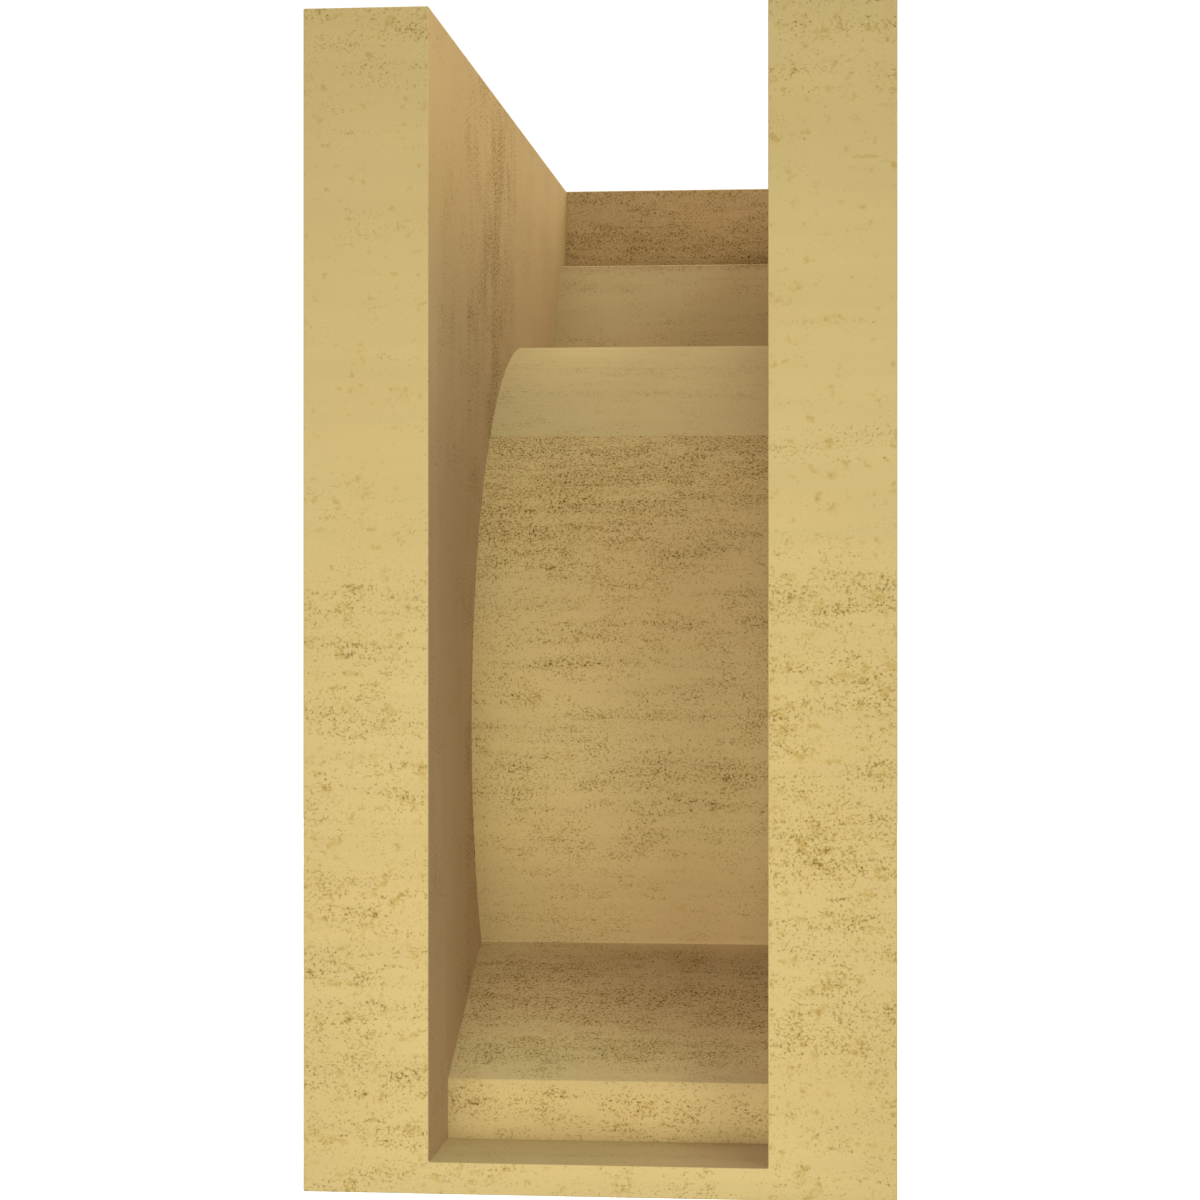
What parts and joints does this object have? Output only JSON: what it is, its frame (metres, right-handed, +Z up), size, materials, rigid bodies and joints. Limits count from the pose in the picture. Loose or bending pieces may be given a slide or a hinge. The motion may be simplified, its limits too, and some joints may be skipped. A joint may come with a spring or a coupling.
{
  "type": "corbel",
  "caption": "Wall corbel with a deep cove, a cyma band and a plain cap, hollow behind between solid side cheeks.",
  "frame": {"origin": "centre of the bottom rail's back face, on the wall plane", "axes": "+Z up, +Y into the wall, so the front faces -Y, and +X to the right seen from the front"},
  "size_m": [0.1778, 0.3556, 0.3556],
  "materials": {
    "body": "matt buff moulded urethane with fine dark brown speckle in streaks, like sawn travertine"
  },
  "bodies": {
    "root": {"corbel": "body"}
  },
  "joints": []
}
